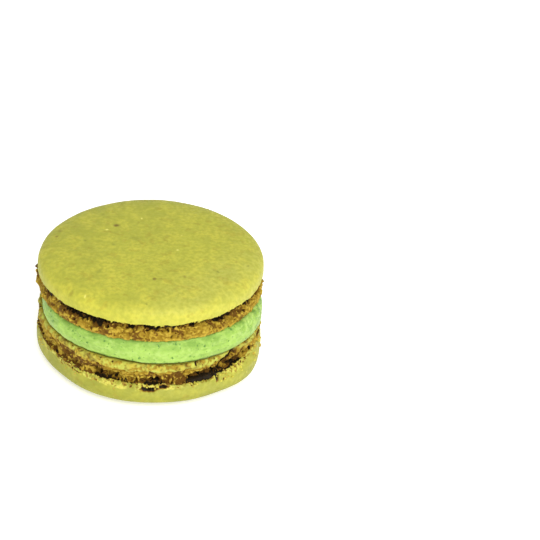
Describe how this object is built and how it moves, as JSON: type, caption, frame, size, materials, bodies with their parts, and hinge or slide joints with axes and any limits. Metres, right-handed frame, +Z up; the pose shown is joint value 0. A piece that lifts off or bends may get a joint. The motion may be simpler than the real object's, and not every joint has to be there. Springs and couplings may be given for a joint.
{
  "type": "macaron",
  "caption": "Round almond meringue sandwich biscuit: domed shells with ruffled feet on their flat bases, held together by a band of green cream.",
  "frame": {"origin": "middle of the small flat spot of the lower dome that the macaron stands on", "axes": "+Z up through both shells and the cream; -Y towards the side seen in the picture; +X to its right"},
  "size_m": [0.0457, 0.0455, 0.0242],
  "materials": {
    "shell": "matte baked almond meringue: olive green skin, golden brown crumbly foot",
    "cream": "soft pale green cream with fine darker specks, faintly moist"
  },
  "bodies": {
    "root": {"lower_shell": "shell", "cream_filling": "cream", "upper_shell": "shell"}
  },
  "joints": []
}
